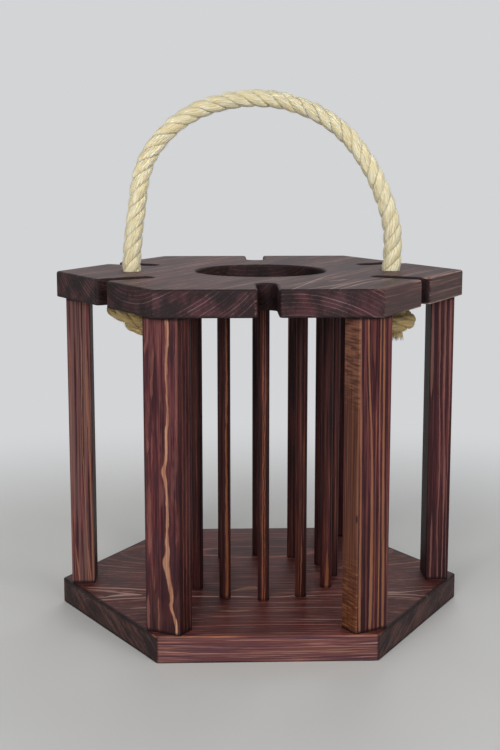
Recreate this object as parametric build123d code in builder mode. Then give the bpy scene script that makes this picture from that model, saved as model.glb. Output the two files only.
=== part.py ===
from build123d import *
import math
import os

# A six-sided wooden carrier with a rope handle, in millimetres.
# The origin is the middle of the base board's underside. +Z is up, the flat sides face -Y and +Y,
# and the corners with the rope holes beside them lie on the X axis.

# Boards
side_count = 6
across_flats = 250.0
base_thickness = 18.0
top_thickness = 18.0
corner_round = 2.5
base_edge_round = 0.9
top_edge_round = 1.6
under_edge_round = 0.8

# Round hole through the middle of the top board
bottle_hole_diameter = 92.0

# Open slots, one in the middle of each side of the top board
slot_width = 13.5
slot_reach = 39.0
slot_mouth_round = 3.0

# Posts, one at each corner, square to the corner's own radius
post_width = 26.0
post_thickness = 16.5
post_length = 207.0
post_edge_round = 1.2
post_setback = 0.3

# Round rods in a ring, glued into blind sockets in both boards
rod_diameter = 8.0
rod_count = 12
rod_standoff = 3.0
rod_socket_depth = 9.0
rod_end_chamfer = 0.6
glue_gap = 0.05
socket_spare = 0.5

# Wooden dowels that join the posts to the top board
dowel_diameter = 8.0
dowel_length = 30.0
dowel_depth_in_top = 12.0
dowel_end_chamfer = 0.8

# Countersunk wood screws that join the base board to the posts
screw_diameter = 4.5
screw_head_diameter = 9.0
screw_length = 50.0
screw_tip_length = 6.0
screw_sink = 0.3
screw_hole_clearance = 0.25
screw_cross_width = 1.0
screw_cross_depth = 1.8
screw_cross_share = 0.55

# Rope handle, its two holes and its stopper knots
rope_diameter = 12.0
rope_hole_clearance = 0.5
rope_hole_reach = 92.0
board_clearance = 1.0
swing_gap = 0.3
handle_rise = 113.8
knot_squeeze = 1.0
knot_wrap_tilt = 12.0
knot_wrap_step_share = 0.92
tail_length = 19.0
tail_lean = 24.0

# The handle's middle line, in the plane of the two holes: sideways as a share of rope_hole_reach,
# and upwards from the handle's axis as a share of handle_rise.
handle_route_shares = [
    (-1.0, 0.0),
    (-0.98, 0.149),
    (-0.939, 0.351),
    (-0.911, 0.536),
    (-0.81, 0.707),
    (-0.614, 0.866),
    (-0.337, 0.967),
    (-0.011, 1.0),
    (0.315, 0.951),
    (0.62, 0.813),
    (0.832, 0.593),
    (0.961, 0.369),
    (1.015, 0.176),
    (1.0, 0.0),
]
# The part of the shorter run that each arc of the handle takes up.
arc_share = 0.45

# A cut runs this far past the face that it starts from.
overrun = 1.0

# Places worked out from the sizes above
flat_reach = across_flats / 2
corner_reach = flat_reach / math.cos(math.pi / side_count)
side_turn = 360.0 / side_count
top_underside = base_thickness + post_length
board_top = top_underside + top_thickness
bottle_hole_radius = bottle_hole_diameter / 2
rod_radius = rod_diameter / 2
rod_ring_radius = bottle_hole_radius + rod_standoff + rod_radius
rope_radius = rope_diameter / 2
handle_axis = board_top + board_clearance + rope_radius

# A post's outer corners stand back by post_setback from where they would meet the board's sides.
post_inset = post_width / 2 / math.tan(math.radians(90.0 - side_turn / 2)) + post_setback
post_ring_radius = corner_reach - post_inset - post_thickness / 2

post_angles = {
    "post_right": 0.0,
    "post_back_right": side_turn,
    "post_back_left": 2 * side_turn,
    "post_left": 3 * side_turn,
    "post_front_left": 4 * side_turn,
    "post_front_right": 5 * side_turn,
}


def write(piece, name):
    """Labels a finished piece and writes it to its own file."""
    piece.part.label = name
    export_step(piece.part, f"parts/{name}.step")


def base_board():
    """The lower board, with sockets for the rods and countersunk holes for the screws."""
    underside = Plane(origin=(0, 0, 0), x_dir=(1, 0, 0), z_dir=(0, 0, -1))
    with BuildPart() as base:
        with BuildSketch(Plane.XY):
            RegularPolygon(flat_reach, side_count, major_radius=False)
            fillet(vertices(), corner_round)
        extrude(amount=base_thickness)
        fillet(faces().sort_by(Axis.Z)[-1].edges(), base_edge_round)
        fillet(faces().sort_by(Axis.Z)[0].edges(), base_edge_round)
        with BuildSketch(Plane.XY.offset(base_thickness)):
            with PolarLocations(rod_ring_radius, rod_count):
                Circle(rod_radius + glue_gap)
        extrude(amount=-(rod_socket_depth + socket_spare), mode=Mode.SUBTRACT)
        with Locations(underside):
            with PolarLocations(post_ring_radius, side_count):
                CounterSinkHole(
                    screw_diameter / 2 + screw_hole_clearance,
                    screw_head_diameter / 2 + screw_sink + glue_gap,
                    depth=base_thickness + overrun,
                    counter_sink_angle=90,
                )
    return base


def top_board():
    """The upper board: its round hole, six open slots, two rope holes and the blind sockets."""
    mouth_reach = math.hypot(flat_reach, slot_width / 2)
    with BuildPart() as top:
        with BuildSketch(Plane.XY.offset(top_underside)):
            RegularPolygon(flat_reach, side_count, major_radius=False)
            fillet(vertices(), corner_round)
            slot_length = slot_reach + slot_width
            slot_middle = flat_reach - slot_reach + slot_length / 2
            with PolarLocations(slot_middle, side_count, start_angle=side_turn / 2):
                SlotOverall(slot_length, slot_width, mode=Mode.SUBTRACT)
            mouths = vertices().filter_by(
                lambda v: abs(math.hypot(v.X, v.Y) - mouth_reach) < glue_gap
            )
            fillet(mouths, slot_mouth_round)
            Circle(bottle_hole_radius, mode=Mode.SUBTRACT)
            with Locations((-rope_hole_reach, 0), (rope_hole_reach, 0)):
                Circle(rope_radius + rope_hole_clearance, mode=Mode.SUBTRACT)
        extrude(amount=top_thickness)
        fillet(faces().sort_by(Axis.Z)[-1].edges(), top_edge_round)
        fillet(faces().sort_by(Axis.Z)[0].edges(), under_edge_round)
        with BuildSketch(Plane.XY.offset(top_underside)):
            with PolarLocations(rod_ring_radius, rod_count):
                Circle(rod_radius + glue_gap)
        extrude(amount=rod_socket_depth + socket_spare, mode=Mode.SUBTRACT)
        with BuildSketch(Plane.XY.offset(top_underside)):
            with PolarLocations(post_ring_radius, side_count):
                Circle(dowel_diameter / 2 + glue_gap)
        extrude(amount=dowel_depth_in_top + socket_spare, mode=Mode.SUBTRACT)
    return top


def post(angle):
    """One upright at a corner, drilled for its dowel above and its screw below."""
    with BuildPart() as upright:
        with BuildSketch(Plane.XY.offset(base_thickness)):
            with PolarLocations(post_ring_radius, 1, start_angle=angle):
                Rectangle(post_thickness, post_width)
        extrude(amount=post_length)
        fillet(edges().filter_by(Axis.Z), post_edge_round)
        with BuildSketch(Plane.XY.offset(top_underside)):
            with PolarLocations(post_ring_radius, 1, start_angle=angle):
                Circle(dowel_diameter / 2 + glue_gap)
        dowel_hole_depth = dowel_length - dowel_depth_in_top + socket_spare
        extrude(amount=-dowel_hole_depth, mode=Mode.SUBTRACT)
        with BuildSketch(Plane.XY.offset(base_thickness)):
            with PolarLocations(post_ring_radius, 1, start_angle=angle):
                Circle(screw_diameter / 2 + glue_gap)
        screw_hole_depth = screw_sink + screw_length - base_thickness + socket_spare
        extrude(amount=screw_hole_depth, mode=Mode.SUBTRACT)
    return upright


def bottle_rod(angle):
    """One round rod of the ring between the boards."""
    with BuildPart() as rod:
        with BuildSketch(Plane.XY.offset(base_thickness - rod_socket_depth)):
            with PolarLocations(rod_ring_radius, 1, start_angle=angle):
                Circle(rod_radius)
        extrude(amount=post_length + 2 * rod_socket_depth)
        chamfer(edges().filter_by(GeomType.CIRCLE), rod_end_chamfer)
    return rod


def post_dowels():
    """The six glued dowels between the posts and the top board."""
    middle = top_underside + dowel_depth_in_top - dowel_length / 2
    with BuildPart() as one_dowel:
        Cylinder(dowel_diameter / 2, dowel_length)
        chamfer(edges().filter_by(GeomType.CIRCLE), dowel_end_chamfer)
    with BuildPart() as dowels:
        with Locations((0, 0, middle)):
            with PolarLocations(post_ring_radius, side_count):
                add(one_dowel.part)
    return dowels


def post_screws():
    """The six countersunk screws that come up through the base board into the posts."""
    head_radius = screw_head_diameter / 2
    shank_radius = screw_diameter / 2
    head_height = head_radius - shank_radius
    with BuildPart() as one_screw:
        with BuildSketch(Plane.XZ):
            with BuildLine():
                Polyline(
                    (0, 0),
                    (head_radius, 0),
                    (shank_radius, head_height),
                    (shank_radius, screw_length - screw_tip_length),
                    (0, screw_length),
                    close=True,
                )
            make_face()
        revolve(axis=Axis.Z)
        with BuildSketch(Plane.XY):
            cross_length = screw_head_diameter * screw_cross_share
            Rectangle(cross_length, screw_cross_width)
            Rectangle(screw_cross_width, cross_length)
        extrude(amount=screw_cross_depth, mode=Mode.SUBTRACT)
    with BuildPart() as screws:
        with Locations((0, 0, screw_sink)):
            with PolarLocations(post_ring_radius, side_count):
                add(one_screw.part)
    return screws


def handle_points():
    """The corners of the handle's route, from the left hole to the right one."""
    return [
        Vector(across * rope_hole_reach, 0, handle_axis + up * handle_rise)
        for across, up in handle_route_shares
    ]


def handle_radii(points):
    """One arc radius for each corner, as large as its two runs allow."""
    radii = []
    for before, corner, after in zip(points, points[1:], points[2:]):
        turn = math.radians((corner - before).get_angle(after - corner))
        shorter = min((corner - before).length, (after - corner).length)
        radii.append(arc_share * shorter / math.tan(turn / 2))
    return radii


def rope_handle():
    """The arch of rope above the top board, with round ends on the handle's axis."""
    points = handle_points()
    radii = handle_radii(points)
    start = Plane(origin=points[0], z_dir=points[1] - points[0])
    end = Plane(origin=points[-1], z_dir=points[-2] - points[-1])
    with BuildPart() as handle:
        with BuildLine() as route:
            FilletPolyline(*points, radius=radii)
        with BuildSketch(start):
            Circle(rope_radius)
        sweep(path=route.wires()[0])
        tube_volume = handle.part.volume
        with Locations(start, end):
            cap = (Align.CENTER, Align.CENTER, Align.MAX)
            Sphere(rope_radius, arc_size1=-90, arc_size2=0, align=cap)
    route_length = route.wires()[0].length
    print("handle arc radii", [round(radius, 1) for radius in radii])
    print("handle length", round(route_length, 2))
    section_volume = math.pi * rope_radius**2 * route_length
    print("handle tube volume over section times length", round(tube_volume / section_volume, 5))
    return handle


def rope_end(side):
    """The rope through one hole, its stopper knot under the board and its short tail."""
    across = side * rope_hole_reach
    wrap_radius = 2 * rope_radius - knot_squeeze
    wrap_half = rope_radius + wrap_radius * math.sin(math.radians(knot_wrap_tilt))
    wrap_step = knot_wrap_step_share * rope_diameter
    first_wrap = top_underside - swing_gap - wrap_half
    second_wrap = first_wrap - wrap_step
    stub_top = handle_axis - rope_radius - swing_gap
    lean = math.radians(tail_lean)
    tail = Plane(
        origin=(across, 0, second_wrap), z_dir=(math.sin(lean), 0, -math.cos(lean))
    )
    with BuildPart() as end:
        with BuildSketch(Plane.XY.offset(stub_top)):
            with Locations((across, 0)):
                Circle(rope_radius)
        extrude(amount=second_wrap - stub_top)
        with Locations(Location((across, 0, first_wrap), (knot_wrap_tilt, 0, 0))):
            Torus(wrap_radius, rope_radius)
        with Locations(Location((across, 0, second_wrap), (-knot_wrap_tilt, 0, 0))):
            Torus(wrap_radius, rope_radius)
        with BuildSketch(tail):
            Circle(rope_radius)
        extrude(amount=tail_length)
    return end


os.makedirs("parts", exist_ok=True)

write(base_board(), "base_board")
write(top_board(), "top_board")
for name, angle in post_angles.items():
    write(post(angle), name)
for number in range(rod_count):
    write(bottle_rod(360.0 * number / rod_count), f"bottle_rod_{number + 1:02d}")
write(post_dowels(), "post_dowels")
write(post_screws(), "post_screws")
write(rope_handle(), "rope_handle")
write(rope_end(-1), "rope_end_left")
write(rope_end(1), "rope_end_right")
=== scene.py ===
"""A six-sided wooden carrier: its stained wood, rope handle, knots and stage, round the CAD frame."""

import math
import random

import bpy
import numpy as np
from bpy.props import FloatProperty, FloatVectorProperty, IntProperty, PointerProperty
from mathutils import Matrix, Vector


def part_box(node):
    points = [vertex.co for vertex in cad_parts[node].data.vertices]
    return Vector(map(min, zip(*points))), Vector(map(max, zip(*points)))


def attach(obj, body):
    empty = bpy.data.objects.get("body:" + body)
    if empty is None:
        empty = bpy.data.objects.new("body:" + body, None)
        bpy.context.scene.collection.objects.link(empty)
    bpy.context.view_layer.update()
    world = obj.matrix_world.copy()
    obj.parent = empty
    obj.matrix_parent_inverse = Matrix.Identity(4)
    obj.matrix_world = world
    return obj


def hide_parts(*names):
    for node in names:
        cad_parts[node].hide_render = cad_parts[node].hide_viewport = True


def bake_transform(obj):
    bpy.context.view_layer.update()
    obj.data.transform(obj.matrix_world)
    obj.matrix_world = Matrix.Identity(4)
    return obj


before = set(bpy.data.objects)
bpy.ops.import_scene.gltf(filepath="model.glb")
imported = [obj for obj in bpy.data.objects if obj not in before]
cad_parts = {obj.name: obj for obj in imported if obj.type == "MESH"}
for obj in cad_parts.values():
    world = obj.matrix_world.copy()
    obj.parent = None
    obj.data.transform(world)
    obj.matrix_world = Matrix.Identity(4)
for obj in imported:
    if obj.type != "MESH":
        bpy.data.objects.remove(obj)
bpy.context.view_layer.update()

bl_info = {
    "name": "Bottle Caddy",
    "version": (1, 0, 0),
    "blender": (4, 5, 0),
    "location": "3D View > Sidebar > Caddy",
    "description": "Finishes a six-sided wooden carrier and makes its rope handle",
    "category": "Object",
}

MM = 0.001

# Places read from the frame
base_low, base_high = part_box("base_board")
top_low, top_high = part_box("top_board")
flat_reach = base_high.y
board_top = top_high.z
top_underside = top_low.z
base_top = base_high.z
post_length = top_underside - base_top

# The openings of the top board. A slot's round end lies SLOT_END from the board's middle.
HOLE_RADIUS = 46 * MM
SLOT_WIDTH = 13.5 * MM
SLOT_END = 86 * MM

# Half a post's thickness and half its width
POST_HALF = (8.25 * MM, 13 * MM)

# How far from its middle a board's rims start to be rubbed, and its other rims to be dark
RUBBED_FROM = 122 * MM
DARK_FROM = 120 * MM

# The turn about Z of a frame whose X axis points to the front
FRONT = math.radians(-90)


def levels(red, green, blue):
    """A colour given in display levels from 0 to 255, as the linear numbers that Blender stores."""
    shares = [level / 255 for level in (red, green, blue)]
    return tuple(s / 12.92 if s <= 0.04045 else ((s + 0.055) / 1.055) ** 2.4 for s in shares)


# Tones laid over the wood, and the colours of beech and zinc, in display levels
TONE_LEVELS = {
    "seam": (20, 11, 12),
    "foot": (26, 13, 15),
    "base front": (98, 64, 63),
    "violet hair": (56, 33, 45),
    "tan hair": (148, 103, 88),
    "pale stroke": (88, 60, 54),
    "deep stroke": (32, 21, 21),
    "wedge": (66, 42, 42),
    "pale figure": (172, 138, 126),
    "patch": (150, 106, 82),
    "lower arris": (24, 15, 17),
    "gathered stain": (22, 15, 15),
    "dusty streak": (130, 112, 106),
    "right side": (79, 61, 59),
    "rosy cloud": (106, 70, 65),
    "violet cloud": (50, 30, 36),
    "faint streak": (132, 84, 74),
    "dull resin": (146, 99, 76),
    "bright resin": (176, 132, 106),
    "thin streak": (118, 68, 56),
    "dark line": (46, 26, 31),
    "red stripe": (108, 60, 52),
    "tan stripe": (138, 91, 64),
    "left streak": (142, 98, 72),
    "left fibre": (116, 88, 82),
    "right streak": (130, 88, 80),
    "right fibre": (36, 18, 20),
    "amber": (94, 58, 44),
    "amber dark thread": (58, 31, 27),
    "amber pale thread": (116, 76, 56),
    "amber top": (118, 80, 66),
    "amber foot": (96, 52, 26),
    "ripple dark": (60, 33, 26),
    "ripple pale": (132, 92, 66),
    "wood knot": (34, 17, 17),
    "rod streak": (128, 76, 48),
    "beech dark": (176, 138, 98),
    "beech middle": (196, 158, 116),
    "beech light": (212, 178, 138),
    "zinc dull": (168, 166, 158),
    "zinc bright": (206, 204, 196),
}
TONES = {name: levels(*colour) for name, colour in TONE_LEVELS.items()}


def colour_property(name, description, colour):
    """A colour in display levels that a user can change."""
    default = levels(*colour)
    return FloatVectorProperty(
        name=name, description=description, subtype="COLOR", size=3, min=0.0, max=1.0, default=default
    )


def length_property(name, description, default):
    """A length in metres that a user can change."""
    return FloatProperty(
        name=name, description=description, subtype="DISTANCE", unit="LENGTH", default=default
    )


class CaddyWood(bpy.types.PropertyGroup):
    """Colours and figure of the stained pine."""

    post_dark: colour_property("Post dark", "Softer wood of the posts, which took most stain", (50, 22, 27))
    post_middle: colour_property("Post middle", "Middle tone of the posts", (88, 46, 49))
    post_light: colour_property("Post light", "Harder wood, which took least stain", (150, 96, 72))
    # The rods' tones are darker than the posts': partly their own stain, partly painted shade for the dim space
    # between the boards
    rod_dark: colour_property("Rod dark", "Dark tone of the rods", (28, 11, 12))
    rod_middle: colour_property("Rod middle", "Middle tone of the rods", (58, 27, 26))
    rod_light: colour_property("Rod light", "Pale grain lines of the rods", (108, 62, 44))
    top_dark: colour_property("Top board dark", "Dark tone of the top board", (40, 29, 31))
    top_middle: colour_property("Top board middle", "Middle tone of the top board", (72, 50, 49))
    top_light: colour_property("Top board light", "Pale grain lines of the top board", (120, 94, 88))
    # The top board's rubbed edges: partly wear, partly a painted highlight along the rounded arris
    top_rubbed: colour_property("Top board rubbed", "Rubbed edges of the top board", (158, 128, 116))
    base_dark: colour_property("Base board dark", "Dark tone of the base board", (48, 24, 24))
    base_middle: colour_property("Base board middle", "Middle tone of the base board", (88, 47, 44))
    base_light: colour_property("Base board light", "Pale grain lines of the base board", (154, 110, 102))
    end_dark: colour_property("End grain dark", "End grain, which drinks the stain", (34, 23, 25))
    end_middle: colour_property("End grain middle", "End grain that took less stain", (68, 40, 44))
    end_light: colour_property("End grain light", "Ring lines on the end grain", (106, 84, 86))
    base_end_middle: colour_property("Base end grain middle", "End grain of the base board", (58, 39, 37))
    base_end_light: colour_property("Base end grain light", "Ring lines at the base's ends", (92, 64, 54))
    rubbed: colour_property("Rubbed arris", "Wood that shows where an edge is sanded", (160, 106, 78))
    rubbed_width: length_property("Rubbed width", "How far in from an edge the stain is rubbed", 1.3 * MM)


class CaddyRope(bpy.types.PropertyGroup):
    """Sizes and colours of the sisal rope."""

    diameter: length_property("Diameter", "Diameter of the three-strand rope", 12 * MM)
    lay: length_property("Lay", "Length in which a strand goes once round the rope", 31 * MM)
    yarn_lay: length_property("Yarn lay", "Length in which a yarn goes once round its strand", 17 * MM)
    yarns: IntProperty(name="Yarns", description="Yarns round each strand", default=9, min=3, max=20)
    wisps: IntProperty(name="Wisps", description="Loose fibres on each metre of rope", default=3000, min=0)
    straw: colour_property("Straw", "Crowns of the strands", (222, 213, 181))
    golden: colour_property("Golden", "Yarns of a deeper colour", (204, 186, 138))
    bleached: colour_property("Bleached", "Stretches that the sun has bleached", (238, 232, 210))
    # Shade is the grooves' colour, paler than the crowns: painted light that cancels the shadow in the grooves
    shade: colour_property("Shade", "Grooves between the strands", (240, 228, 190))
    # Crevice: painted shade in the creases between the yarns
    crevice: colour_property("Crevice", "Broken lines between the yarns", (190, 173, 122))


class CaddyStage(bpy.types.PropertyGroup):
    """Floor, backdrop, lamps and camera."""

    floor: colour_property("Floor", "Colour of the pale floor", (212, 211, 208))
    backdrop: colour_property("Backdrop", "Colour behind the carrier", (211, 212, 214))
    lens: FloatProperty(
        name="Lens", description="Focal length on a 36 mm frame", subtype="DISTANCE_CAMERA", default=65.93
    )


class Value:
    """An output of a node. A sum with it adds a Math node."""

    def __init__(self, graph, socket):
        self.graph = graph
        self.socket = socket

    def __add__(self, other):
        return self.graph.math("ADD", self, other)

    def __sub__(self, other):
        return self.graph.math("SUBTRACT", self, other)

    def __rsub__(self, other):
        return self.graph.math("SUBTRACT", other, self)

    def __mul__(self, other):
        return self.graph.math("MULTIPLY", self, other)

    def __truediv__(self, other):
        return self.graph.math("DIVIDE", self, other)

    def __abs__(self):
        return self.graph.math("ABSOLUTE", self)

    def rise(self, low, high, start=0.0, end=1.0):
        """Goes smoothly from start to end while this value goes from low to high."""
        return self.graph.get("MapRange", (self, low, high, start, end), interpolation_type="SMOOTHSTEP")


class Graph:
    """A short way to write a node tree."""

    def __init__(self, tree):
        self.tree = tree

    def feed(self, socket, value):
        """Links an output to the socket, or sets its value."""
        value = getattr(value, "socket", value)
        if isinstance(value, bpy.types.NodeSocket):
            self.tree.links.new(value, socket)
        elif socket.type == "RGBA":
            socket.default_value = (*value, 1.0)
        else:
            socket.default_value = value

    def feed_all(self, sockets, values):
        """Feeds sockets with values that stand in a row, or under the sockets' names or numbers."""
        for key, value in values.items() if isinstance(values, dict) else enumerate(values):
            self.feed(sockets[key], value)

    def add(self, kind, inputs=(), **settings):
        """Adds a node of that kind with these settings and inputs."""
        node = self.tree.nodes.new("ShaderNode" + kind)
        for name, setting in settings.items():
            setattr(node, name, setting)
        self.feed_all(node.inputs, inputs)
        return node

    def get(self, kind, inputs=(), output=0, **settings):
        """Adds a node and gives one of its outputs."""
        return Value(self, self.add(kind, inputs, **settings).outputs[output])

    def math(self, operation, *values):
        """One Math node."""
        return self.get("Math", values, operation=operation)

    def vector_math(self, operation, *values):
        """One Vector Math node."""
        output = "Value" if operation in ("DOT_PRODUCT", "LENGTH") else "Vector"
        return self.get("VectorMath", values, output, operation=operation)

    def mix(self, share, first, second, blend="MIX"):
        """Mixes two colours."""
        return self.get("Mix", {0: share, 6: first, 7: second}, 2, data_type="RGBA", blend_type=blend)

    def mix_vector(self, share, first, second):
        """Mixes two vectors."""
        return self.get("Mix", {0: share, 4: first, 5: second}, 1, data_type="VECTOR")

    def stain(self, colour, tone, share, *more):
        """The colour under a share of a tone: a name from TONES or a colour. More shares are multiplied."""
        for other in more:
            share = share * other
        return self.mix(share, colour, TONES[tone] if isinstance(tone, str) else tone)

    def noise(self, vector, stretch, detail=3.0, roughness=0.6, shift=(0.0, 0.0, 0.0)):
        """A noise whose lumps are 1 / stretch long on each axis."""
        mapped = self.get("Mapping", {"Vector": vector, "Scale": stretch, "Location": shift})
        inputs = {"Vector": mapped, "Scale": 1.0, "Detail": detail, "Roughness": roughness}
        return self.get("TexNoise", inputs)

    def place(self, vector, location, rotation=(0.0, 0.0, 0.0)):
        """The same point in a frame with this origin and turn."""
        inputs = {"Vector": vector, "Location": location, "Rotation": rotation}
        return self.get("Mapping", inputs, vector_type="TEXTURE")

    def stand(self, where, centre, heading):
        """The same point from the foot of a post or rod, with the X axis out at this heading."""
        return self.place(where, (centre.x, centre.y, base_top), (0.0, 0.0, heading))

    def split(self, vector):
        """The three parts of a vector."""
        return [Value(self, part) for part in self.add("SeparateXYZ", [vector]).outputs]

    def normal(self):
        """The surface's own direction."""
        return self.get("TexCoord", output="Normal")

    def bump(self, height, strength, distance):
        """The surface's direction with this height on it."""
        return self.get("Bump", {"Strength": strength, "Distance": distance, "Height": height})


def new_material(name):
    """A material with its graph and its shader."""
    material = bpy.data.materials.new(name)
    material.use_nodes = True
    return material, Graph(material.node_tree), material.node_tree.nodes["Principled BSDF"]


PINE_INPUTS = {
    "Vector": ["Grain"],
    "Float": ["Ring Width", "Waviness", "Seed", "Line", "Thread", "Streak", "Tone", "End Grain", "Rubbed"],
    "Color": ["Dark", "Middle", "Light", "Rubbed Color", "End Dark", "End Middle", "End Light"],
}
PINE_OUTPUTS = {"Color": ["Color"], "Float": ["Roughness", "Height"]}


def pine_group():
    """Stained pine: rings round the X axis of the given frame, with fibres, blotches and rubbed edges."""
    tree = bpy.data.node_groups.new("stained_pine", "ShaderNodeTree")
    for direction, kinds in (("INPUT", PINE_INPUTS), ("OUTPUT", PINE_OUTPUTS)):
        for kind, labels in kinds.items():
            for label in labels:
                tree.interface.new_socket(name=label, in_out=direction, socket_type=f"NodeSocket{kind}")
    graph = Graph(tree)
    given = {socket.name: Value(graph, socket) for socket in tree.nodes.new("NodeGroupInput").outputs}
    grain, seed = given["Grain"], given["Seed"]
    shift = graph.get("CombineXYZ", (seed, seed, seed))

    # Rings: the distance from the pith, which drifts slowly along the grain, in rings of uneven width
    _, across, up = graph.split(grain)
    radius = graph.math("SQRT", across * across + up * up)
    drift = graph.noise(grain, (7, 26, 26), 2.0, 0.45, shift) - 0.5
    tremble = graph.noise(grain, (40, 190, 190), 2.0, 0.5, shift) - 0.5
    radius = (tremble * 0.13 + drift) * given["Waviness"] + radius
    rings = radius / given["Ring Width"] + seed
    uneven = graph.get("TexNoise", {"W": rings, "Scale": 0.55, "Detail": 1.0}, noise_dimensions="1D")
    rings = (uneven - 0.5) * 0.8 + rings
    part = graph.math("FRACT", rings)
    ring = graph.math("FLOOR", rings)
    chance = graph.get("TexWhiteNoise", {"W": ring}, "Value", noise_dimensions="1D") * 0.75 + 0.25
    patches = graph.noise(grain, (10, 80, 80), 2.0, 0.5, shift).rise(0.25, 0.62, 0.35, 1.0)
    edge = part.rise(0.93, 1.0, 1.0, 0.0)
    hard = part.rise(0.50, 0.82) * edge * chance * patches

    # Long fibres, from broad streaks to single hairs
    streaks = graph.noise(grain, (6, 210, 210), 2.0, 0.55, shift)
    threads = graph.noise(grain, (12, 640, 640), 3.0, 0.65, shift)
    hairs = graph.noise(grain, (28, 1250, 1250), 3.0, 0.65, shift)
    blotches = graph.noise(grain, (14, 34, 34), 2.0, 0.5, shift)
    warmth = graph.noise(grain, (5, 60, 60), 1.0, 0.5, shift)
    tone = (streaks - 0.5) * given["Streak"] + given["Tone"]
    tone = (threads - 0.5) * given["Thread"] + tone
    tone = (hairs - 0.5) * 1.5 + tone
    tone = hard * given["Line"] * 0.65 + tone
    face = graph.mix(tone.rise(0.10, 0.52), given["Dark"], given["Middle"])
    face = graph.stain(face, given["Light"], tone.rise(0.52, 1.05))

    # End grain: thin broken ring lines and open pores in wood that drank the stain unevenly
    pores = graph.noise(grain, (900, 1500, 1500), 3.0, 0.7, shift)
    clouds = graph.noise(grain, (30, 75, 60), 3.0, 0.6, shift)
    lines = part.rise(0.62, 0.92) * edge * chance * clouds.rise(0.32, 0.62, 0.35, 1.0)
    lines = (pores - 0.5) * 1.3 + lines
    end = graph.mix(clouds.rise(0.38, 0.66), given["End Dark"], given["End Middle"])
    end = graph.stain(end, given["End Light"], lines.rise(0.05, 0.95))
    end = graph.stain(end, given["End Dark"], pores.rise(0.30, 0.46, 0.55, 0.0))

    rubbed = given["Rubbed"] * blotches.rise(0.38, 0.60, 0.1, 1.0) * threads.rise(0.30, 0.60, 0.5, 1.0)
    colour = graph.stain(graph.mix(given["End Grain"], face, end), given["Rubbed Color"], rubbed)
    shade = blotches.rise(0.25, 0.75, 0.80, 1.18)
    cool = shade * warmth.rise(0.3, 0.7, 0.86, 1.08)
    shades = graph.get("CombineColor", (shade, cool, cool))
    results = {
        "Color": graph.mix(1.0, colour, shades, "MULTIPLY"),
        "Roughness": threads * 0.30 + 0.34 + given["End Grain"] * 0.08 + rubbed * 0.1,
        "Height": hard * 0.4 + (hairs * 0.7 + threads),
    }
    graph.feed_all(tree.nodes.new("NodeGroupOutput").inputs, results)
    return tree


def palette(kind, rubbed="rubbed", end="end"):
    """The colours of a kind of piece, in the order of the pine group's colours."""
    names = [f"{kind}_{tone}" for tone in ("dark", "middle", "light")]
    names += [rubbed, "end_dark", f"{end}_middle", f"{end}_light"]
    return [getattr(bpy.context.scene.caddy_wood, name) for name in names]


def pine_material(name, colours, grain, rings, weights, seed, along=None, rubbed=None, overlay=None):
    """One piece's own pine. rings is the ring width and waviness, and weights is how strongly the ring lines,
    the threads and the broad streaks show, and the tone they lie on. along is the direction of the grain, where
    end grain shows. grain, rubbed and overlay are functions that add nodes."""
    material, graph, shader = new_material(name)
    where = graph.get("TexCoord", output="Object")
    values = dict(zip(PINE_INPUTS["Color"], colours))
    values.update(zip(("Ring Width", "Waviness", "Line", "Thread", "Streak", "Tone"), (*rings, *weights)))
    values["Seed"] = seed
    values["Grain"] = grain(graph, where)
    values["End Grain"] = end_grain(graph, along) if along else 0.0
    values["Rubbed"] = rubbed(graph, where) if rubbed else 0.0
    tree = bpy.data.node_groups.get("stained_pine") or pine_group()
    group = graph.add("Group", values, node_tree=tree)
    colour = Value(graph, group.outputs["Color"])
    surface = {
        "Specular IOR Level": 0.13,
        "Base Color": overlay(graph, where, colour) if overlay else colour,
        "Roughness": group.outputs["Roughness"],
        "Normal": graph.bump(group.outputs["Height"], 0.7, 0.15 * MM),
    }
    graph.feed_all(shader.inputs, surface)
    return material


def end_grain(graph, along):
    """How much a surface cuts across the grain, from the surface's own direction."""
    return abs(graph.vector_math("DOT_PRODUCT", graph.normal(), along)).rise(0.35, 0.85)


def worn(distance):
    """A share that is highest on an edge and 0 at the rubbed width from it."""
    return distance.rise(0.0, bpy.context.scene.caddy_wood.rubbed_width, 0.9, 0.0)


def folded_place(graph, where):
    """A place on a hexagonal board turned into the sixth of it that its sides have in common: how far out
    it is towards the middle of its side, how far along the side from there, and how far from the middle."""
    x, y, _ = graph.split(where)
    out = graph.math("SQRT", x * x + y * y)
    sixth = math.pi / 3
    folded = graph.math("FLOORED_MODULO", graph.math("ARCTAN2", y, x), sixth) - sixth / 2
    return out * graph.math("COSINE", folded), out * graph.math("SINE", folded), out


def opening_distance(graph, where):
    """How far a place on the top board is from the wall of its round hole or of a slot."""
    ahead, aside, out = folded_place(graph, where)
    inside = graph.math("MAXIMUM", SLOT_END + SLOT_WIDTH / 2 - ahead, 0.0)
    span = graph.math("SQRT", aside * aside + inside * inside)
    return graph.math("MINIMUM", out - HOLE_RADIUS, span - SLOT_WIDTH / 2)


def rim_distance(graph, where, low, high, pierced):
    """How far a place on a hexagonal board is from the nearest rim of its faces. The top board is pierced."""
    z = graph.split(where)[2]
    walls = flat_reach - folded_place(graph, where)[0]
    if pierced:
        walls = graph.math("MINIMUM", walls, opening_distance(graph, where))
    return graph.math("MAXIMUM", walls, graph.math("MINIMUM", high - z, z - low))


def favour(graph, where, direction, reach):
    """1 past this reach towards the direction, and 0 elsewhere."""
    return graph.vector_math("DOT_PRODUCT", where, direction).rise(reach - 4 * MM, reach)


def rubbed_rim(shape, direction, strength):
    """Rubbed rims on the favoured side of a board, on the top board partly a painted highlight along the arris.
    """

    def nodes(graph, where):
        broken = graph.noise(where, (55, 55, 55)).rise(0.30, 0.62, 0.6 * strength, strength)
        near = worn(rim_distance(graph, where, *shape))
        return near * broken * favour(graph, where, direction, RUBBED_FROM)

    return nodes


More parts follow.
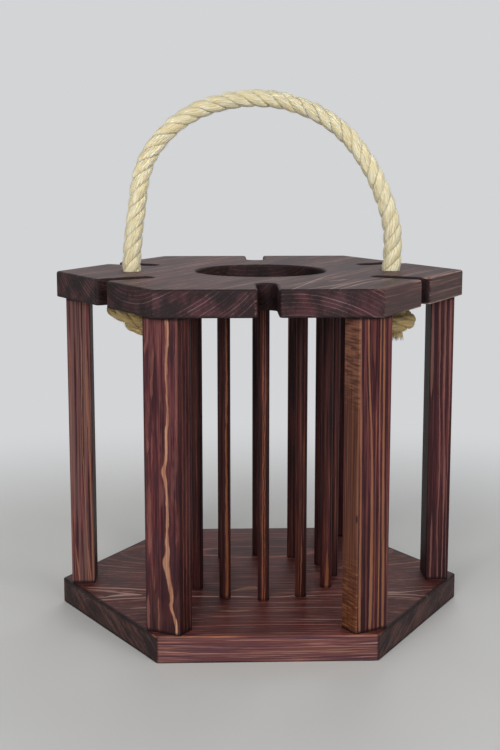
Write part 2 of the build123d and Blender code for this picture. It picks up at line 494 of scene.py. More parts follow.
def dark_rim(graph, where, colour, shape, direction, width, tone, least):
    """Rims on the other sides of a board, where stain gathered."""
    near = rim_distance(graph, where, *shape).rise(0.4 * width, width, 1.0, 0.0)
    other = 1.0 - favour(graph, where, direction, DARK_FROM)
    broken = graph.noise(where, (160, 160, 160)).rise(0.30, 0.60, least, 0.95)
    return graph.stain(colour, tone, near, other, broken)


# The widest place to the side and the widest streak, in millimetres, that a streak's rows can give.
STREAK_SPAN = 250.0
STREAK_WIDTH_SPAN = 12.0


def row_curve(graph, share, rows, column, span, middle):
    """One column of a streak's rows, in metres, as it bends smoothly with the share of the length."""
    rows = [(0.0, *rows[0][1:])] * (rows[0][0] > 0) + rows + [(1.0, *rows[-1][1:])] * (rows[-1][0] < 1)
    node = graph.add("FloatCurve", {"Value": share})
    curve = node.mapping.curves[0]
    places = [(row[0], row[column] / span + middle) for row in rows]
    curve.points[0].location = places[0]
    curve.points[1].location = places[-1]
    for place in places[1:-1]:
        curve.points.new(*place)
    node.mapping.update()
    return (Value(graph, node.outputs[0]) - middle) * (span * MM)


def streaked(graph, local, colour, tone, lists, length, strength, nearest, ripple=1.8 * MM):
    """Streaks on the side of a piece that its local X axis points out of, past the nearest place along it.
    Each list's rows give the share of the length, millimetres to the side and half the streak's width in
    millimetres. A streak bends smoothly between its rows, and stays the same before and after them."""
    outward, sideways, height = graph.split(local)
    share = height / length
    wander = (graph.noise(local, (400, 400, 110)) - 0.5) * ripple
    fibre = graph.noise(local, (1100, 1100, 25), roughness=0.65).rise(0.25, 0.6, 0.45, 1.0)
    outer = outward.rise(nearest - 1.5 * MM, nearest) * fibre * strength
    for rows in lists:
        middle = row_curve(graph, share, rows, 1, STREAK_SPAN, 0.5)
        half = graph.math("MAXIMUM", row_curve(graph, share, rows, 2, STREAK_WIDTH_SPAN, 0.0), 0.01 * MM)
        core = (abs(sideways - middle + wander) / half).rise(0.55, 1.2, 1.0, 0.0)
        colour = graph.stain(colour, tone, core, outer)
    return colour


def dress(name, material):
    """Gives a CAD piece its material."""
    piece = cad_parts[name]
    piece.data.materials.clear()
    piece.data.materials.append(material)


# A board's staves, in millimetres: the near edge and the pith across the grain, and the pith's height
BASE_STAVES = [(-200, -72, -62), (-80, -44, -14), (4, 60, 130)]
TOP_STAVES = [(-200, -78, 169), (-62, 25, 300), (62, 44, 290)]


def staved(turn, staves, bow):
    """Grain of a board glued up from staves at this turn, each with its own pith that rises at its ends."""

    def nodes(graph, where):
        ahead = Vector((math.cos(turn), math.sin(turn), 0.0))
        side = Vector((-math.sin(turn), math.cos(turn), 0.0))
        across = graph.vector_math("DOT_PRODUCT", where, side)
        along = graph.vector_math("DOT_PRODUCT", where, ahead)
        bowed = graph.vector_math("ADD", where, graph.get("CombineXYZ", {2: along * along * -bow}))
        vector = bowed
        for number, (edge, pith_across, pith_height) in enumerate(staves):
            start = side * (pith_across * MM) + ahead * number + Vector((0, 0, pith_height * MM))
            placed = graph.place(bowed, start, (0.0, 0.0, turn))
            vector = graph.mix_vector(graph.math("GREATER_THAN", across, edge * MM), vector, placed)
        return vector

    return nodes


# Pale grain on top of the base board, as rows of (share of BOARD_SPAN from its left, millimetres towards the
# front from the middle, half the width in millimetres): the pointed figures at both sides, the long line and
# the paler patches. It is drawn in a frame that starts FACE_DEPTH below the face.
BOARD_SPAN = 250 * MM
FACE_DEPTH = 10 * MM
BASE_FIGURE = [
    [(0, 26, 0.2), (0.03, 27, 0.9), (0.11, 29.3, 1), (0.165, 32.6, 1.1), (0.21, 34.5, 0.7), (0.27, 37, 0)],
    [(0, 30, 0.2), (0.03, 32.6, 0.9), (0.065, 35.1, 1.1), (0.1, 38.6, 1.3), (0.125, 41, 1.5),
     (0.155, 43.4, 1.1), (0.165, 43.4, 0)],
    [(0, 49.5, 0), (0.045, 48.6, 0.3), (0.06, 47.6, 1.2), (0.075, 45.5, 1.7), (0.1, 43.9, 2.4),
     (0.125, 43.2, 2.2), (0.155, 43.4, 1), (0.165, 43.4, 0)],
    [(0, 54, 0), (0.06, 53.3, 1.1), (0.1, 51.5, 1.1), (0.135, 50.7, 1), (0.17, 49.9, 1), (0.22, 48.4, 0.8),
     (0.295, 47.7, 1), (0.365, 49, 1.1), (0.41, 49.3, 1), (0.465, 50.8, 0.9), (0.485, 51.4, 0.7),
     (0.52, 51.7, 0.6), (0.56, 51, 0.8), (0.595, 48.5, 0.9), (0.62, 49.3, 0.7), (0.66, 48.6, 0.6),
     (0.72, 48, 0.7), (0.8, 47, 0.4), (1, 46, 0)],
    [(0.12, 71.5, 0), (0.15, 71.2, 0.7), (0.2, 70.5, 0.9), (0.28, 71, 0.4), (0.35, 72, 0)],
    [(0.8, 46, 0), (0.84, 44.8, 2), (0.86, 44, 2.3), (0.89, 44.3, 1.6), (0.925, 42.1, 0.8),
     (0.975, 39.2, 0.6), (1, 38, 0.3)],
    [(0, 47, 0), (0.82, 47.4, 0.3), (0.855, 48.5, 1.3), (0.89, 48.8, 1.3), (0.92, 49.6, 1),
     (0.955, 52.1, 0.7), (1, 54, 0.3)],
    [(0.8, 52, 0), (0.855, 52.8, 0.9), (0.895, 54.8, 0.9), (0.935, 57.3, 0.7), (1, 60, 0.3)],
]
BASE_WEDGES = [
    [(0, 42, 4.5), (0.03, 41.5, 4.5), (0.06, 41.5, 3.6), (0.09, 41, 1.6), (0.11, 41.5, 0)],
    [(0.885, 47, 0), (0.91, 46.5, 1.4), (0.94, 45.6, 3.6), (0.97, 45.2, 4.6), (1, 45, 4.8)],
]
BASE_PATCHES = [
    [(0.4, 39, 0), (0.42, 36, 1.5), (0.44, 33.5, 2.8), (0.465, 31, 4), (0.485, 31, 3), (0.5, 31, 0)],
    [(0.36, 79, 0), (0.39, 79, 1), (0.42, 79.8, 1.5), (0.45, 79, 0.7), (0.47, 79, 0)],
]
BASE_FIGURE_START = (-BOARD_SPAN / 2, 2.8 * MM, base_top - FACE_DEPTH)

# Pale grain on the top board, partly painted sheen, as above, but from its front left edge, with millimetres to
# the front right
TOP_FIGURE = [
    [(0, 78, 0), (0.1, 75, 0.6), (0.16, 72, 0.9), (0.29, 65.5, 1.1), (0.43, 59, 1), (0.49, 57.8, 0.7),
     (0.7, 55, 0)],
    [(0, 84, 0), (0.14, 84, 0.5), (0.19, 86, 1.2), (0.24, 88.5, 1.5), (0.29, 90, 0.8), (0.36, 91, 0)],
    [(0, 95, 0), (0.14, 95, 0.8), (0.19, 94, 1.2), (0.29, 92.6, 1), (0.39, 92.1, 1.2), (0.44, 93.5, 0.7),
     (0.6, 97, 0.4), (0.8, 99, 0)],
    [(0, 101, 0), (0.18, 100.5, 0.8), (0.22, 100, 1.2), (0.36, 99, 1.3), (0.43, 102, 0.8), (0.7, 107, 0.6),
     (1, 108, 0.4)],
    [(0, 72, 0), (0.3, 74, 0), (0.33, 75.6, 1.6), (0.36, 78, 2), (0.38, 79.2, 1.2), (0.41, 81, 0)],
]
TOP_FIGURE_START = (-62.5 * MM, -108.3 * MM, board_top - FACE_DEPTH)


class CADDY_OT_base_board(bpy.types.Operator):
    """Stains the base board, whose grain runs from side to side"""

    bl_idname = "caddy.base_board"
    bl_label = "Base board"

    front = (0, -1, 0)
    shape = (base_low.z, base_high.z, False)

    def execute(self, context):
        material = pine_material(
            "base_board_pine",
            palette("base", end="base_end"),
            staved(0.0, BASE_STAVES, 0.42),
            rings=(1.8 * MM, 1.0 * MM),
            weights=(0.85, 1.6, 0.4, 0.40),
            seed=3.0,
            along=(1, 0, 0),
            rubbed=rubbed_rim(self.shape, self.front, 1.3),
            overlay=self.overlay,
        )
        dress("base_board", material)
        return {"FINISHED"}

    def overlay(self, graph, where, colour):
        """The violet and tan hairs of the front, the strokes of the ends, the figure of the face, and painted
        shade along the sides' bottom edge.
        """
        # Faces toned by which way they look: the upward face a little darker and redder, the front and back
        # faces lighter and less red, partly their own stain and partly painted light on the front face
        _, side, upward = graph.split(graph.normal())
        side = abs(side).rise(0.7, 0.95)
        colour = graph.mix(upward.rise(0.7, 0.95), colour, (0.98, 0.90, 0.87), "MULTIPLY")
        colour = graph.mix(side, colour, (1.04, 1.12, 1.13), "MULTIPLY")
        colour = graph.stain(colour, "base front", side * 0.40)
        hairs = graph.noise(where, (14, 14, 950), roughness=0.65)
        colour = graph.stain(colour, "violet hair", side, hairs.rise(0.36, 0.50, 0.90, 0.0))
        colour = graph.stain(colour, "tan hair", side, hairs.rise(0.53, 0.68, 0.0, 0.60))
        ends = end_grain(graph, (1, 0, 0))
        tilted = graph.place(where, (0.0, 0.0, 0.0), (math.radians(29), 0.0, 0.0))
        strokes = graph.noise(tilted, (20, 42, 330))
        colour = graph.stain(colour, "pale stroke", ends, strokes.rise(0.46, 0.66, 0.0, 0.75))
        colour = graph.stain(colour, "deep stroke", ends, strokes.rise(0.34, 0.48, 0.7, 0.0))
        local = graph.place(where, BASE_FIGURE_START, (0.0, math.radians(-90), math.pi))
        sets = (
            ("wedge", BASE_WEDGES, 0.85, 0.5 * MM),
            ("pale figure", BASE_FIGURE, 1.0, 1.2 * MM),
            ("patch", BASE_PATCHES, 0.85, 1.8 * MM),
        )
        for tone, lists, strength, ripple in sets:
            colour = streaked(graph, local, colour, tone, lists, BOARD_SPAN, strength, FACE_DEPTH, ripple)
        # Painted contact shade: a dark line along the bottom edge of the outer sides, where the board meets the
        # floor, and down their corners
        ahead, aside, _ = folded_place(graph, where)
        outer = ahead.rise(flat_reach - 1.5 * MM, flat_reach - 0.5 * MM)
        corner = flat_reach / math.sqrt(3) - abs(aside)
        foot = graph.split(where)[2] - base_low.z
        near = graph.math("MINIMUM", corner, foot).rise(0.3 * MM, 1.8 * MM, 0.75, 0.0)
        colour = graph.stain(colour, "lower arris", outer, near)
        return dark_rim(graph, where, colour, self.shape, self.front, 3.0 * MM, "gathered stain", 0.6)


class CADDY_OT_top_board(bpy.types.Operator):
    """Stains the top board, whose grain runs from the front left to the back right"""

    bl_idname = "caddy.top_board"
    bl_label = "Top board"

    turn = math.radians(60)
    right = (math.sin(turn), -math.cos(turn), 0)
    shape = (top_low.z, top_high.z, True)

    def execute(self, context):
        material = pine_material(
            "top_board_pine",
            palette("top", "top_rubbed"),
            staved(self.turn, TOP_STAVES, 0.1),
            rings=(2.6 * MM, 3.0 * MM),
            weights=(0.6, 2.5, 1.1, 0.38),
            seed=11.0,
            along=(math.cos(self.turn), math.sin(self.turn), 0),
            # Rubbed right rims, partly a painted highlight along the arris
            rubbed=rubbed_rim(self.shape, self.right, 2.4),
            overlay=self.overlay,
        )
        dress("top_board", material)
        return {"FINISHED"}

    def overlay(self, graph, where, colour):
        """The face's figure and painted sheen, the tones of the sides and painted shade on the openings' walls.
        """
        aside, _, facing = graph.split(graph.normal())
        face = facing.rise(0.7, 0.98)
        local = graph.place(where, TOP_FIGURE_START, (0.0, math.radians(-90), self.turn + math.pi))
        # Pale grain lines on the face, partly painted sheen along them
        colour = streaked(
            graph, local, colour, "dusty streak", TOP_FIGURE, BOARD_SPAN, 0.9, FACE_DEPTH, 0.8 * MM
        )
        # Painted sheen: the upward face is lightened in patches, more on the left than on the right
        painted_sheen = graph.mix(1.0, colour, (1.68, 1.68, 1.68), "MULTIPLY")
        weaker_painted_sheen = graph.mix(1.0, colour, (1.36, 1.36, 1.36), "MULTIPLY")
        painted_sheen = graph.mix(graph.split(where)[0].rise(-20 * MM, 80 * MM), painted_sheen, weaker_painted_sheen)
        colour = graph.stain(colour, painted_sheen, face, graph.noise(where, (26, 26, 26)).rise(0.3, 0.7, 0.6, 1.0))
        fine = graph.noise(local, (1, 620, 34), roughness=0.7).rise(0.34, 0.66, 0.74, 1.26)
        colour = graph.mix(face, colour, graph.get("CombineColor", (fine, fine, fine)), "MULTIPLY")
        colour = graph.mix(aside.rise(-0.8, -0.5, 1.0, 0.0), colour, (0.78, 0.80, 0.76), "MULTIPLY")
        rightward = aside.rise(0.5, 0.8)
        colour = graph.mix(rightward, colour, (1.10, 1.04, 1.02), "MULTIPLY")
        colour = graph.stain(colour, "right side", rightward * 0.45)
        # Painted shade: the walls of the round hole and the slots are darkened, as shade falls inside them
        walls = opening_distance(graph, where).rise(0.2 * MM, 1.4 * MM, 0.85, 0.0)
        walls = walls * facing.rise(0.3, 0.8, 1.0, 0.0)
        colour = graph.mix(walls, colour, (0.30, 0.24, 0.24), "MULTIPLY")
        dark = bpy.context.scene.caddy_wood.end_dark
        return dark_rim(graph, where, colour, self.shape, self.right, 2.2 * MM, dark, 0.35)


# Posts: the pith's direction from the post's own outward one in degrees and its distance, the ring width and
# waviness, how strongly the ring lines, the threads and the broad streaks show and the tone under them, how dark
# the narrow sides and the inner side are, how dark the painted shade at the foot is, and how far up it goes.
POSTS = {
    "post_front_left": (184, 46 * MM, (3.6 * MM, 6 * MM), (0.22, 1.0, 1.0, 0.34), (0.62, 0.5, 0.58, 75 * MM)),
    "post_front_right": (92, 90 * MM, (4.0 * MM, 1.5 * MM), (0.5, 2.8, 0.8, 0.21), (0.0, 0.5, 0.5, 150 * MM)),
    "post_left": (90, 120 * MM, (1.5 * MM, 1.2 * MM), (0.8, 2.4, 0.4, 0.33), (0.0, 0.9, 0.2, 60 * MM)),
    "post_right": (96, 90 * MM, (3.4 * MM, 2.2 * MM), (0.4, 2.0, 1.0, 0.24), (0.0, 0.9, 0.5, 80 * MM)),
    "post_back_left": (200, 50 * MM, (3.2 * MM, 4 * MM), (0.8, 1.6, 1.1, 0.35), (0.50, 0.5, 0.3, 80 * MM)),
    "post_back_right": (60, 60 * MM, (3.6 * MM, 3.5 * MM), (0.8, 1.6, 1.1, 0.35), (0.50, 0.5, 0.3, 80 * MM)),
}

# Streaks on the posts, as rows of (share of the height, millimetres to the side, half the width)
RESIN_STREAK = [
    (0, 10.9, 1), (0.03, 10.5, 1.1), (0.06, 9.2, 1.2), (0.095, 6.7, 1.3), (0.11, 7.3, 1.2), (0.14, 6.8, 1.5),
    (0.17, 5.7, 1.7), (0.2, 4.3, 1.9), (0.235, 3, 2.6), (0.265, 4.5, 1.7), (0.3, 4.1, 1.3), (0.39, 4.4, 1),
    (0.49, 3.4, 1.2), (0.525, 1.9, 1.6), (0.55, 3.4, 1.3), (0.6, 4.4, 1.1), (0.645, 4.2, 1.2), (0.68, 5.2, 1),
    (0.77, 5, 0.7), (0.86, 4.8, 1), (0.93, 5.8, 1.2), (1, 5.2, 1.4),
]
SIDE_STREAKS = [
    [(0, 5.2, 0.3), (0.3, 5, 0.45), (0.7, 5.4, 0.35), (1, 5, 0.4)],
    [(0, 1.2, 0.4), (0.3, 1, 0.5), (0.6, 1.4, 0.4), (1, 1, 0.3)],
    [(0, -2.8, 0.35), (0.3, -3, 0.5), (0.7, -2.6, 0.4), (1, -3.2, 0.4)],
]
FAINT_STREAKS = [
    [(0, -10.8, 0), (0.02, -10.8, 0.9), (0.07, -10.8, 1.3), (0.11, -10.6, 0.6), (0.13, -10.3, 0),
     (0.24, -9.3, 0), (0.27, -9.2, 1.2), (0.36, -9.1, 1.7), (0.45, -9.1, 1.2), (0.48, -9.3, 0),
     (0.57, -9.6, 0), (0.6, -9.6, 1.1), (0.63, -9.6, 0), (0.88, -10.9, 0), (0.9, -10.7, 1.1),
     (0.93, -9.3, 1), (1, -8.9, 0.9)],
    [(0.13, -5.7, 0), (0.16, -5.7, 0.6), (0.2, -5.7, 0), (0.52, -6.8, 0), (0.56, -6.8, 0.6),
     (0.62, -6.8, 0.6), (0.65, -6.8, 0), (0.74, -6.6, 0), (0.77, -6.5, 1.2), (0.8, -6.3, 1.1),
     (0.83, -5.5, 0.6), (0.87, -5.2, 0.8), (0.92, -5, 0)],
    [(0, -2.8, 0.3), (0.02, -2.8, 0.6), (0.1, -2.8, 0.5), (0.12, -2.8, 0)],
    [(0.28, 11, 0), (0.31, 11, 0.45), (0.35, 11, 0), (0.39, 11.1, 0), (0.42, 11.1, 0.45), (0.45, 11.1, 0),
     (0.5, 11.3, 0), (0.54, 11.3, 0.5), (0.59, 11.4, 0), (0.64, 11.5, 0.5), (0.77, 11.6, 0.6),
     (0.92, 11.7, 0.5), (0.95, 11.7, 0)],
]
TAN_STRIPES = [
    [(0, -10.2, 0.8), (0.11, -10.4, 1), (0.39, -10.5, 0.85), (0.68, -11.3, 0.9), (0.96, -12.5, 1),
     (1, -12.6, 1)],
    [(0, -1.8, 1.2), (0.11, -1.5, 1.35), (0.39, -1.4, 1.15), (0.64, -2.9, 0.9), (0.74, -4.2, 0.8),
     (0.96, -6.2, 0.7), (1, -6.4, 0.7)],
    [(0, 8.6, 1), (0.11, 8.5, 1.15), (0.39, 7.4, 1.15), (0.64, 6.9, 0.9), (0.93, 6.2, 0.75), (1, 6, 0.7)],
    [(0, 4.8, 0.45), (0.11, 4.8, 0.55), (0.39, 4.4, 0.45), (0.64, 3.5, 0.5), (0.93, 3.6, 0.6)],
]
RED_STRIPES = [
    [(0, -5, 0.4), (0.11, -5.3, 0.6), (0.39, -5.9, 0.6), (0.68, -5.7, 0.7), (0.8, -7.4, 0.5), (1, -8.8, 0.7)],
    [(0, 12.2, 0.4), (0.11, 12.1, 0.6), (0.39, 11.2, 0.6), (0.64, 11, 0.7), (0.8, 10.4, 0.8), (1, 9.8, 0.8)],
    [(0, 1.6, 0.3), (0.3, 1.2, 0.5), (0.6, 0.9, 0.4), (0.84, -0.8, 0.2), (0.88, -1.3, 1.1),
     (0.96, -1.6, 1.2), (1, -1.6, 1)],
]
DARK_LINES = [
    [(0, -11.9, 0.2), (0.2, -11.8, 0.5), (0.4, -11.8, 0.5), (0.62, -12.8, 0.4), (0.7, -12.9, 0)],
    [(0, 0.1, 0.4), (0.39, 0.5, 0.5), (0.64, -1.2, 0.45), (0.74, -2.6, 0.4), (1, -4.2, 0.4)],
    [(0, 6.6, 0.4), (0.39, 5.8, 0.5), (0.64, 5.2, 0.5), (1, 4.8, 0.35)],
    [(0, 10.4, 0.5), (0.39, 9.2, 0.55), (0.64, 9, 0.6), (1, 8, 0.45)],
]

# Streaks on the sides of the left and right posts that face the front, with millimetres to the right
LEFT_POST_STREAKS = [
    [(0, 3.6, 0.3), (0.07, 3.2, 0.4), (0.18, 2.8, 0.4), (0.3, 2.3, 0.35), (0.39, 1.5, 0.4),
     (0.57, 1.1, 0.4), (0.82, 1.7, 0.4), (0.9, 1.6, 0.1), (1, 1.6, 0.2)],
    [(0, 6.9, 0.3), (0.07, 6.9, 0.6), (0.16, 6.8, 0.5), (0.3, 6.4, 0.5), (0.46, 6, 0.7), (0.55, 5.7, 0.9),
     (0.64, 5.1, 1), (0.77, 5.1, 0.9), (0.86, 5, 0.3), (1, 5, 0.5)],
    [(0, -2.8, 0.4), (0.03, -3.2, 0.6), (0.1, -4.7, 0.5), (0.15, -5.2, 0)],
    [(0, 5.2, 0.4), (0.03, 4.9, 0.5), (0.1, 3.8, 0.4), (0.14, 3.6, 0)],
]
RIGHT_POST_STREAKS = [
    [(0, 0.4, 0.5), (0.04, 0.4, 0.55), (0.21, -0.4, 0.5), (0.35, 0.2, 0.55), (0.5, 0, 0.5),
     (0.71, -1.3, 0.5), (0.82, -1.4, 0.75), (0.93, -2, 0.75), (1, -1.8, 0.6)],
    [(0, 3.6, 0.4), (0.18, 3.8, 0.4), (0.39, 3.6, 0.9), (0.64, 2.3, 0.7), (0.78, 2.2, 0.9),
     (0.88, 2.1, 0.9), (1, 1.8, 0.9)],
    [(0, 6.3, 0.2), (0.35, 5.9, 0.3), (0.64, 6.2, 0.5), (0.89, 5.8, 0.8), (1, 5.7, 0.6)],
    [(0, -4.9, 0.6), (0.04, -4.8, 0.7), (0.18, -4.6, 0.6), (0.26, -4.6, 0), (0.64, -6.8, 0),
     (0.72, -6.8, 1.2), (0.89, -6.9, 1), (1, -6.9, 0.8)],
]


def seam_and_contact_shade(graph, where, colour, strength):
    """The colour with a dark line where a post or a rod meets the boards: partly its glue and stain, partly
    painted contact shade.
    """
    height = graph.split(where)[2]
    near = graph.math("MINIMUM", height - base_top, top_underside - height)
    return graph.stain(colour, "seam", near.rise(0.7 * MM, 2.8 * MM, strength, 0.0))


def dark_sides(graph, where, colour, centre, angle, shades):
    """The narrow sides and the inner side of a post, which took more stain, and painted shade towards its foot.
    """
    narrow, inner, foot, foot_height = shades
    outward, sideways, height = graph.split(graph.stand(where, centre, angle))
    # Painted shade: the post darkens towards its foot
    colour = graph.stain(colour, "foot", height.rise(0.0, foot_height, foot, 0.0))
    darker = graph.mix(1.0, colour, (0.24, 0.16, 0.16), "MULTIPLY")
    for reach, half, share in ((abs(sideways), POST_HALF[1], narrow), (0.0 - outward, POST_HALF[0], inner)):
        colour = graph.stain(colour, darker, reach.rise(half - 1.2 * MM, half - 0.2 * MM) * share)
    return colour


def front_left_streaks(graph, where, colour, centre, angle, shades):
    """The front left post's resin streak, the faint ones beside it and the thin ones on its right side."""
    local = graph.stand(where, centre, angle)
    reach = POST_HALF[0] - 1 * MM
    cloud = graph.noise(local, (150, 250, 28), roughness=0.62)
    colour = graph.stain(colour, "rosy cloud", cloud.rise(0.50, 0.66, 0.0, 0.5))
    colour = graph.stain(colour, "violet cloud", cloud.rise(0.36, 0.50, 0.75, 0.0))
    colour = dark_sides(graph, where, colour, centre, angle, shades)
    colour = streaked(graph, local, colour, "faint streak", FAINT_STREAKS, post_length, 0.5, reach)
    fibres = graph.noise(local, (900, 900, 14)).rise(0.36, 0.62)
    resin = graph.mix(fibres, TONES["dull resin"], TONES["bright resin"])
    colour = streaked(graph, local, colour, resin, [RESIN_STREAK], post_length, 0.92, reach)
    side = graph.stand(where, centre, angle + math.pi / 2)
    reach = POST_HALF[1] - 1 * MM
    return streaked(graph, side, colour, "thin streak", SIDE_STREAKS, post_length, 0.85, reach)


def front_right_streaks(graph, where, colour, centre, angle, shades):
    """The tan and reddish stripes of the front right post, the dark lines between them and its amber side."""
    local = graph.stand(where, centre, angle)
    reach = POST_HALF[0] - 1 * MM
    colour = dark_sides(graph, where, colour, centre, angle, shades)
    sets = (
        ("dark line", DARK_LINES, 0.8),
        ("red stripe", RED_STRIPES, 0.6),
        ("tan stripe", TAN_STRIPES, 0.78),
    )
    for tone, lists, strength in sets:
        colour = streaked(graph, local, colour, tone, lists, post_length, strength, reach, 0.7 * MM)
    return curly_side(graph, local, colour)


def curly_side(graph, local, colour):
    """The amber side of the front right post, whose grain ripples near both ends round a small dark knot."""
    _, sideways, height = graph.split(local)
    side = sideways.rise(-POST_HALF[1] + 1.5 * MM, -POST_HALF[1] + 0.3 * MM)
    cover = graph.noise(local, (60, 900, 7)).rise(0.3, 0.65, 0.45, 0.9)
    colour = graph.stain(colour, "amber", side, cover)
    threads = graph.noise(local, (900, 900, 12), roughness=0.65)
    colour = graph.stain(colour, "amber dark thread", side, threads.rise(0.48, 0.62, 0.0, 0.75))
    colour = graph.stain(colour, "amber pale thread", side, threads.rise(0.36, 0.46, 0.5, 0.0))
    ends = side * abs(height - (post_length / 2 - 6 * MM)).rise(40 * MM, 66 * MM)
    upper = height.rise(post_length - 56 * MM, post_length - 30 * MM, 0.0, 0.5)
    colour = graph.stain(colour, "amber top", side, upper)
    colour = graph.stain(colour, "amber foot", side, height.rise(0.0, 70 * MM, 0.6, 0.0))
    ripple = graph.noise(local, (90, 90, 640), 2.0, 0.5)
    colour = graph.stain(colour, "ripple dark", ends, ripple.rise(0.38, 0.52, 0.65, 0.0))
    colour = graph.stain(colour, "ripple pale", ends, ripple.rise(0.52, 0.66, 0.0, 0.50))
    knot = graph.place(local, (7.2 * MM, -POST_HALF[1], 77 * MM))
    knot = graph.vector_math("MULTIPLY", knot, (1 / (1.1 * MM), 0.0, 1 / (3.2 * MM)))
    knot = graph.vector_math("LENGTH", knot).rise(0.4, 1.2, 0.85, 0.0)
    return graph.stain(colour, "wood knot", side, knot)


def side_post_streaks(lists, tone, fibre, share):
    """Streaks on the side of the left or right post that faces the front, over fibres of another tone."""

    def draw(graph, where, colour, centre, angle, shades):
        local = graph.stand(where, centre, FRONT)
        reach = POST_HALF[1]
        front = graph.split(local)[0].rise(reach - 1.5 * MM, reach - 0.5 * MM)
        fibres = graph.noise(local, (800, 800, 9)).rise(0.40, 0.62, 0.0, 2.0 * share)
        colour = dark_sides(graph, where, colour, centre, angle, shades)
        colour = graph.stain(colour, fibre, front, fibres)
        return streaked(graph, local, colour, tone, lists, post_length, 0.65, reach - 1 * MM, 1.0 * MM)

    return draw


POST_OVERLAYS = {
    "post_front_left": front_left_streaks,
    "post_front_right": front_right_streaks,
    "post_left": side_post_streaks(LEFT_POST_STREAKS, "left streak", "left fibre", 0.30),
    "post_right": side_post_streaks(RIGHT_POST_STREAKS, "right streak", "right fibre", 0.22),
}


def post_edges(graph, where, centre, angle):
    """Rubbed edges of a post."""
    outward, sideways, _ = graph.split(graph.stand(where, centre, angle))
    edges = graph.math("MAXIMUM", POST_HALF[0] - abs(outward), POST_HALF[1] - abs(sideways))
    return worn(edges) * 0.45


def upright(centre, heading, distance, start):
    """Grain that runs up and down round a pith at this heading and distance, from this height of the log."""
    pith = (centre.x + distance * math.cos(heading), centre.y + distance * math.sin(heading), start)
    return lambda graph, where: graph.place(where, pith, (0.0, math.radians(-90), 0.0))


class CADDY_OT_posts(bpy.types.Operator):
    """Stains the six posts, each cut from its own place in the log"""

    bl_idname = "caddy.posts"
    bl_label = "Posts"

    def execute(self, context):
        for number, (name, (turn, distance, rings, weights, shades)) in enumerate(POSTS.items()):
            low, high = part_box(name)
            centre = (low + high) / 2
            angle = math.atan2(centre.y, centre.x)
            seed = 5.0 + 13.0 * number
            draw = POST_OVERLAYS.get(name, dark_sides)

            def overlay(graph, where, colour):
                return seam_and_contact_shade(graph, where, draw(graph, where, colour, centre, angle, shades), 0.88)

            material = pine_material(
                f"{name}_pine",
                palette("post"),
                upright(centre, angle + math.radians(turn), distance, seed),
                rings=rings,
                weights=weights,
                seed=seed,
                along=(0, 0, 1),
                rubbed=lambda graph, where: post_edges(graph, where, centre, angle),
                overlay=overlay,
            )
            dress(name, material)
        return {"FINISHED"}


# Pale streaks on the rods at the front, by the rod's place in degrees round the ring, seen from the front
ROD_STREAKS = {
    240: [[(0, 1.3, 0.9), (0.2, 1.2, 1.1), (0.5, 1, 0.6), (0.8, 1.3, 0.7), (1, 1, 0.4)]],
    270: [
        [(0, -0.6, 0.3), (0.3, -0.7, 0.35), (0.7, -0.4, 0.2), (1, -0.5, 0.3)],
        [(0, 0.9, 0.3), (0.4, 0.8, 0.25), (0.7, 1, 0.3), (1, 0.8, 0.2)],
    ],
    300: [[(0, 0, 0.1), (0.06, -0.2, 0.4), (0.14, 0.1, 0.5), (0.22, 0, 0.1), (1, 0.2, 0.2)]],
    330: [[(0, 0.6, 0.9), (0.06, 0.5, 1.2), (0.11, 0.7, 0.6), (0.16, 0.8, 0), (1, 0.6, 0.1)]],
}


class CADDY_OT_bottle_rods(bpy.types.Operator):
    """Stains the twelve round rods between the boards"""

    bl_idname = "caddy.bottle_rods"
    bl_label = "Bottle rods"

    def execute(self, context):
        chance = random.Random(12)
        for name in [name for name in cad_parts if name.startswith("bottle_rod_")]:
            low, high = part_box(name)
            centre = (low + high) / 2
            heading = chance.uniform(0, 2 * math.pi)
            distance = chance.uniform(18, 60) * MM
            seed = chance.uniform(0, 90)
            lists = ROD_STREAKS.get(round(math.degrees(math.atan2(centre.y, centre.x))) % 360, [])

            def overlay(graph, where, colour):
                local = graph.stand(where, centre, FRONT)
                colour = streaked(graph, local, colour, "rod streak", lists, post_length, 0.8, 1 * MM)
                return seam_and_contact_shade(graph, where, colour, 0.6)

            material = pine_material(
                f"{name}_pine",
                palette("rod"),
                upright(centre, heading, distance, seed),
                rings=(3.2 * MM, 3.5 * MM),
                weights=(0.6, 1.6, 1.1, 0.35),
                seed=seed,
                along=(0, 0, 1),
                overlay=overlay,
            )
            dress(name, material)
        return {"FINISHED"}


class CADDY_OT_dowels(bpy.types.Operator):
    """Gives the hidden dowels their plain beech"""

    bl_idname = "caddy.dowels"
    bl_label = "Dowels"

    def execute(self, context):
        material = pine_material(
            "dowel_beech",
            [TONES["beech dark"], TONES["beech middle"]] + 5 * [TONES["beech light"]],
            upright(Vector((0, 0, 0)), 0.0, 0.0, 0.0),
            rings=(1.8 * MM, 1.5 * MM),
            weights=(1.0, 1.6, 1.1, 0.35),
            seed=2.0,
        )
        dress("post_dowels", material)
        return {"FINISHED"}


class CADDY_OT_screws(bpy.types.Operator):
    """Gives the screws their zinc-plated steel"""

    bl_idname = "caddy.screws"
    bl_label = "Screws"

    def execute(self, context):
        material, graph, shader = new_material("zinc_plated_steel")
        where = graph.get("TexCoord", output="Object")
        stain = graph.noise(where, (900, 900, 900))
        grit = graph.noise(where, (3000, 3000, 3000), 2.0)
        surface = {
            "Metallic": 1.0,
            "Base Color": graph.mix(stain.rise(0.3, 0.7), TONES["zinc dull"], TONES["zinc bright"]),
            "Roughness": stain.rise(0.3, 0.7, 0.45, 0.28),
            "Normal": graph.bump(grit, 0.3, 0.03 * MM),
        }
        graph.feed_all(shader.inputs, surface)
        dress("post_screws", material)
        return {"FINISHED"}


